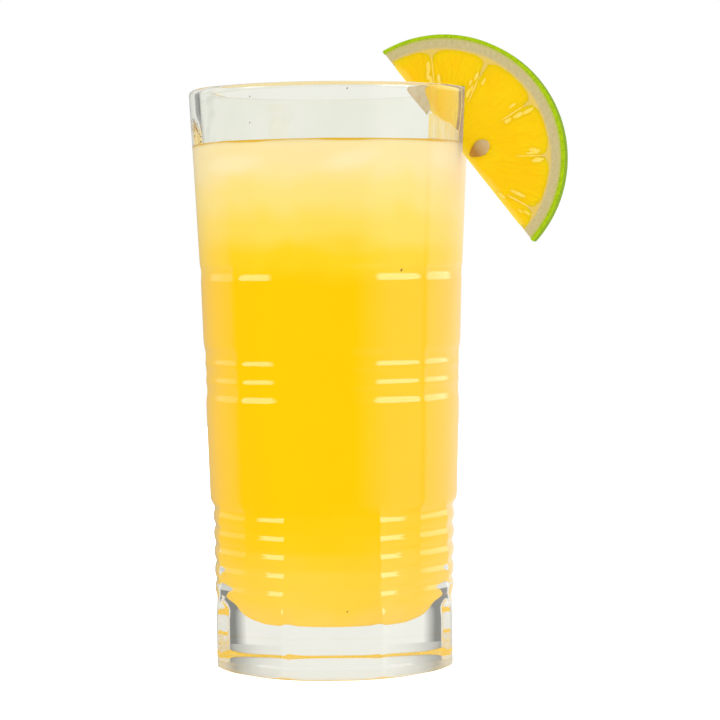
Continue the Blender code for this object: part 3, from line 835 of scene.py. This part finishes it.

# Ripe citrus flesh: wet and half glossy, a clear golden yellow that shifts a little in soft patches. Light
# sinks into it and comes out warmer. It is paler along the straight cut.
wet_flesh, tree, output, shader = new_material(
    "ripe_citrus_flesh",
    {
        "Roughness": 0.35,
        "Specular IOR Level": 0.1,
        "Subsurface Weight": 0.6,
        "Subsurface Radius": (1.0, 0.7, 0.25),
        "Subsurface Scale": 3 * MM,
    },
)
where = add_node(tree, "ShaderNodeTexCoord").outputs["Object"]
cloud = add_node(tree, "ShaderNodeTexNoise", {"Vector": where, "Scale": 1 / FLESH_CLOUD, "Detail": 3})
tone = colour_by(tree, cloud, [(0.3, "#FFCA00"), (0.55, "#FFCE00"), (0.75, "#FFD20A")])
chord_way = (math.cos(SLICE_CUT_FACING), 0, math.sin(SLICE_CUT_FACING))
chord_start = SLICE_CENTRE_OUT * chord_way[0] + SLICE_CENTRE_UP * chord_way[2] + SLICE_CUT_OFFSET
off_chord = add_node(tree, "ShaderNodeVectorMath", [where, chord_way], operation="DOT_PRODUCT").outputs["Value"]
waver = add_node(tree, "ShaderNodeMath", [cloud, 3 * MM], operation="MULTIPLY")
strip = add_node(tree, "ShaderNodeMath", [off_chord, waver], operation="ADD")
pale = {"Value": strip, "From Min": chord_start + 3.4 * MM, "From Max": chord_start + 1.8 * MM, "To Max": 0.6}
pale = add_node(tree, "ShaderNodeMapRange", pale)
tree.links.new(tinged(tree, tone, pale, "#FDDC6A"), shader.inputs["Base Color"])
flesh.data.materials.append(wet_flesh)
cut_slit(flesh)
keep_slice_piece(flesh)


# Pale sacs: short pale streaks on the flesh beside the walls between segments, partly juice sacs full of air or
# cut through, partly painted highlights where the wet sacs catch the light. The top edge of each wall is a thin
# pale line that fades away inwards.
SACS_BY_A_WALL = 6
PALE_LENGTH = 3 * MM
PALE_WIDTH = 1.1 * MM
WALL_LENGTH = 8 * MM
WALL_WIDTH = 0.5 * MM
SAC_STANDS = 0.2 * MM
SAC_MOTTLE = 1.11 * MM


def lump_object(name, lumps, columns, rings):
    """Smooth lumps in one mesh; each is (centre, long axis, side axis, outward axis), the axes as half sizes."""
    turn = np.linspace(0, 2 * math.pi, columns, endpoint=False)
    tilt = np.linspace(0, math.pi, rings + 1)[1:-1]
    circle = np.stack([np.zeros(columns), np.cos(turn), np.sin(turn)], -1)
    belts = [np.array([math.cos(t), 0, 0]) + math.sin(t) * circle for t in tilt]
    shape = np.concatenate([[[1, 0, 0]], *belts, [[-1, 0, 0]]])
    points, faces = [], []
    for centre, *axes in lumps:
        first = len(points) * len(shape)
        points.append(np.array(centre) + shape @ np.array(axes))
        last = first + len(shape) - 1
        for column in range(columns):
            after = (column + 1) % columns
            faces.append((first, first + 1 + column, first + 1 + after))
            for ring in range(len(tilt) - 1):
                low = first + 1 + ring * columns
                faces.append((low + column, low + columns + column, low + columns + after, low + after))
            low = last - columns
            faces.append((low + column, last, low + after))
    return finish_mesh(name, np.concatenate(points), faces, 80)


def streak(distance_out, turn, length, width):
    """A lump on the front of the slice that points to the middle of the wheel."""
    outward = np.array([math.cos(turn), 0, math.sin(turn)])
    sideways = np.array([-math.sin(turn), 0, math.cos(turn)])
    centre = np.array([SLICE_CENTRE_OUT, -PITH_HALF - FLESH_PROUD, SLICE_CENTRE_UP]) + outward * distance_out
    return centre, outward * length / 2, sideways * width / 2, np.array([0, -SAC_STANDS, 0])


sac_lumps = []
for wall_turn, depth in zip(MEMBRANES, MEMBRANE_DEPTHS):
    sac_lumps.append(streak(FLESH_RADIUS - depth - WALL_LENGTH / 2, wall_turn, WALL_LENGTH, WALL_WIDTH))
    for spot in range(SACS_BY_A_WALL):
        distance_out = FLESH_RADIUS * draw.uniform(0.62, 0.95)
        off_wall = draw.uniform(1.5, 5) * draw.choice([-1, 1])
        size = draw.uniform(0.6, 1.2)
        turn = wall_turn + math.radians(off_wall)
        sac_lumps.append(streak(distance_out, turn, PALE_LENGTH * size, PALE_WIDTH * size))
pale_sacs = lump_object("slice_pale_sacs_and_painted_sheen", sac_lumps, 12, 8)

# Dry juice sacs: the same flesh, paler and creamier, partly for the air in it and partly as painted highlights
# on the wet sacs.
dry_sac_and_sheen, tree, output, shader = new_material(
    "dry_citrus_juice_sac_and_painted_sheen", {"Roughness": 0.35, "Specular IOR Level": 0.1}
)
where = add_node(tree, "ShaderNodeTexCoord").outputs["Object"]
cloud = add_node(tree, "ShaderNodeTexNoise", {"Vector": where, "Scale": 1 / SAC_MOTTLE, "Detail": 2})
tree.links.new(colour_by(tree, cloud, [(0.3, "#FED63A"), (0.7, "#FFDE6E")]), shader.inputs["Base Color"])
pale_sacs.data.materials.append(dry_sac_and_sheen)
keep_slice_piece(pale_sacs)


# Core: the beige middle of the fruit, a low pad of dry fibre that grew with the flesh. The knife left it on
# the straight cut, and it shows inside the tumbler.
CORE_OUTLINE = [(21.2, 160.8), (25.0, 160.4), (27.5, 159.2), (28.9, 157.0), (29.1, 154.0), (28.0, 152.4)]
CORE_STANDS = 0.14 * MM
FIBRE_SIZE = 1.43 * MM


def core_patch(steps):
    """A low rounded pad over the outline and the straight cut, its points (out, up) drawn towards its middle."""
    outline = np.array(CORE_OUTLINE) * MM
    middle = outline.mean(axis=0)
    loop = np.concatenate([outline, outline[-1:] * 0.5 + outline[:1] * 0.5])
    points = []
    for turn in np.arange(steps) / steps * math.pi / 2:
        front = -PITH_HALF - 0.1 * MM - CORE_STANDS * math.sin(turn)
        points += [(out, front, rise) for out, rise in middle + (loop - middle) * math.cos(turn)]
    count = len(loop)
    faces = [tuple(range(count))]
    for step in range(steps - 1):
        for column in range(count):
            after = (column + 1) % count
            low = step * count
            faces.append((low + column, low + after, low + count + after, low + count + column))
    faces.append(tuple(range((steps - 1) * count, steps * count))[::-1])
    return finish_mesh("slice_core", np.array(points), faces, 80)


core = core_patch(6)

# Citrus core: dry and fibrous, beige with a brown cast.
fibrous_core, tree, output, shader = new_material("fibrous_citrus_core", {"Roughness": 0.7})
where = add_node(tree, "ShaderNodeTexCoord").outputs["Object"]
fibre = add_node(tree, "ShaderNodeTexNoise", {"Vector": where, "Scale": 1 / FIBRE_SIZE, "Detail": 4})
tree.links.new(colour_by(tree, fibre, [(0.3, "#C9B48C"), (0.7, "#DACBAE")]), shader.inputs["Base Color"])
core.data.materials.append(fibrous_core)
keep_slice_piece(core)


# Seed: one hard pip that grew in the flesh and that the knife went past. It sits a little proud of the flesh
# and points down to the middle.
SEED_OUT = 42.7 * MM
SEED_UP = 142.7 * MM
SEED_LENGTH = 6.4 * MM
SEED_WIDTH = 4.4 * MM
SEED_RELIEF = 0.8 * MM
SEED_TILT = math.radians(35)
SEED_POINT_START = 0.1
SEED_POINTEDNESS = 0.75
SEED_GRAIN = 2 * MM

along = np.array([-math.cos(SEED_TILT), 0, -math.sin(SEED_TILT)])
aside = np.array([math.sin(SEED_TILT), 0, -math.cos(SEED_TILT)])
seed_centre = np.array([SEED_OUT, -SLICE_THICKNESS / 2, SEED_UP])
seed = lump_object("slice_seed", [(np.zeros(3), *np.eye(3) / 2)], 48, 32)
for vertex in seed.data.vertices:
    length, width, relief = vertex.co
    point = 1 - SEED_POINTEDNESS * max(length + SEED_POINT_START, 0)
    placed = seed_centre + along * length * SEED_LENGTH + aside * width * SEED_WIDTH * point
    placed[1] += relief * 2 * SEED_RELIEF * point
    vertex.co = placed

# Citrus seed: hard, smooth and woody, tan, with a browner pointed end; that brown is partly its own and partly
# painted shade where its point meets the flesh.
woody_seed, tree, output, shader = new_material("woody_citrus_seed", {"Roughness": 0.4})
where = add_node(tree, "ShaderNodeTexCoord").outputs["Object"]
towards = add_node(tree, "ShaderNodeVectorMath", [where, tuple(along)], operation="DOT_PRODUCT").outputs["Value"]
middle = float(seed_centre @ along)
tip = {"Value": towards, "From Min": middle - SEED_LENGTH / 2, "From Max": middle + SEED_LENGTH / 2}
tip = add_node(tree, "ShaderNodeMapRange", tip)
grain = add_node(tree, "ShaderNodeTexNoise", {"Vector": where, "Scale": 1 / SEED_GRAIN, "Detail": 3})
blur = add_node(tree, "ShaderNodeMath", [grain, 0.5], operation="SUBTRACT")
blur = add_node(tree, "ShaderNodeMath", [blur, 0.3], operation="MULTIPLY")
share = add_node(tree, "ShaderNodeMath", [tip, blur], operation="ADD")
tone = colour_by(tree, share, [(0.15, "#CFAE78"), (0.45, "#C59F62"), (0.7, "#B67C24"), (1.0, "#C88A10")])
tree.links.new(tone, shader.inputs["Base Color"])
seed.data.materials.append(woody_seed)
keep_slice_piece(seed)


# Run-off: juice that ran from the cut fruit down the inside of the wall, a thin pale film that thins out
# upwards along the fruit's straight cut and ends at the drink.
RUN_FROM = math.radians(46)
RUN_TO = math.radians(87)
RUN_BOTTOM = DRINK_LEVEL + 0.2 * MM
RUN_TOP_NEAR = 152 * MM
RUN_TOP_FAR = 145.6 * MM
RUN_TOP_WAVE = 0.2 * MM
RUN_THICKNESS = 0.25 * MM
RUN_INTO_WALL = 0.05 * MM
STREAK_WIDTH = 2 * MM

columns, rows = 60, 24
turn = np.linspace(RUN_FROM, RUN_TO, columns)[None, :] + CAMERA_AZIMUTH
share = np.linspace(0, 1, rows)[:, None]
top_edge = np.linspace(RUN_TOP_NEAR, RUN_TOP_FAR, columns) + RUN_TOP_WAVE * np.sin(np.arange(columns) * 0.35)
rise = RUN_BOTTOM * (1 - share) + top_edge[None, :] * share
waver = 1 + 0.35 * np.sin(turn * 90) * np.sin(share * math.pi)
from_side = np.minimum(turn - turn.min(), turn.max() - turn)
swell = np.minimum(np.minimum(share, 1 - share) * 8, 1) * np.minimum(1, 12 * from_side)
film = [inner_radius(rise) + RUN_INTO_WALL, inner_radius(rise) - RUN_THICKNESS * waver * swell]
film = [np.stack([radius * np.sin(turn), -radius * np.cos(turn), rise], -1) for radius in film]
run_off = finish_mesh("juice_run_off", *closed_sheet(*film), 60)
run_off.rotation_euler.z = 0

# A film of cloudy juice: pale, streaked downwards, and thin enough to see the light behind it.
juice_film, tree, output, shader = new_material("thin_film_of_cloudy_juice", {"Roughness": 0.4})
where = add_node(tree, "ShaderNodeTexCoord").outputs["Object"]
drawn_down = add_node(tree, "ShaderNodeMapping", {"Vector": where, "Scale": (1, 1, 0.15)})
streaks = add_node(tree, "ShaderNodeTexNoise", {"Vector": drawn_down, "Scale": 1 / STREAK_WIDTH, "Detail": 2})
tree.links.new(colour_by(tree, streaks, [(0.35, "#F9DC84"), (0.65, "#FBEBBE")]), shader.inputs["Base Color"])
clearness = {"Value": streaks, "From Min": 0.35, "From Max": 0.7, "To Min": 0.1, "To Max": 0.5}
clearness = add_node(tree, "ShaderNodeMapRange", clearness)
see_through = add_node(tree, "ShaderNodeBsdfTransparent")
mixed = add_node(tree, "ShaderNodeMixShader", [clearness, shader, see_through])
tree.links.new(mixed.outputs[0], output.inputs["Surface"])
run_off.data.materials.append(juice_film)
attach(run_off, "root")
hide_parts("juice")


# Specks: bits of peel and pulp that stuck between the drink and the glass, and on the wall above the drink.
# Each is (angle from the front, height, half width), in degrees and mm.
SPECKS = [(33, 110, 0.4), (-39, 26.7, 0.3), (9.2, 17.6, 0.3)]
SPECKS += [(-34.5, 156.6, 0.22), (7.4, 158.1, 0.22), (-35.2, 149.8, 0.2)]
SPECK_THICKNESS = 0.06 * MM
SPECK_LEAN = 0.4
SPECK_NARROWNESS = 0.7
BRUISE_SIZE = 0.667 * MM

speck_lumps = []
for turn_degrees, height, half_width in SPECKS:
    turn = math.radians(turn_degrees) + CAMERA_AZIMUTH
    outward = np.array([math.sin(turn), -math.cos(turn), 0])
    sideways = np.array([math.cos(turn), math.sin(turn), 0])
    wall = inner_radius(height * MM) + INTO_WALL + SPECK_THICKNESS
    centre = outward * wall + np.array([0, 0, height * MM])
    along_wall = (np.array([0, 0, 1.0]) + SPECK_LEAN * sideways) * half_width * MM
    across = sideways * half_width * MM * SPECK_NARROWNESS
    speck_lumps.append((centre, along_wall, across, outward * SPECK_THICKNESS))
specks = lump_object("peel_specks", speck_lumps, 10, 6)
specks.rotation_euler.z = 0

# Bruised citrus peel: tiny, matt, brown to almost black.
bruised_peel, tree, output, shader = new_material("bruised_citrus_peel", {"Roughness": 0.6})
where = add_node(tree, "ShaderNodeTexCoord").outputs["Object"]
patch = add_node(tree, "ShaderNodeTexNoise", {"Vector": where, "Scale": 1 / BRUISE_SIZE})
tree.links.new(colour_by(tree, patch, [(0.35, "#4A2A10"), (0.65, "#8A4A18")]), shader.inputs["Base Color"])
specks.data.materials.append(bruised_peel)
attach(specks, "root")
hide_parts("juice")
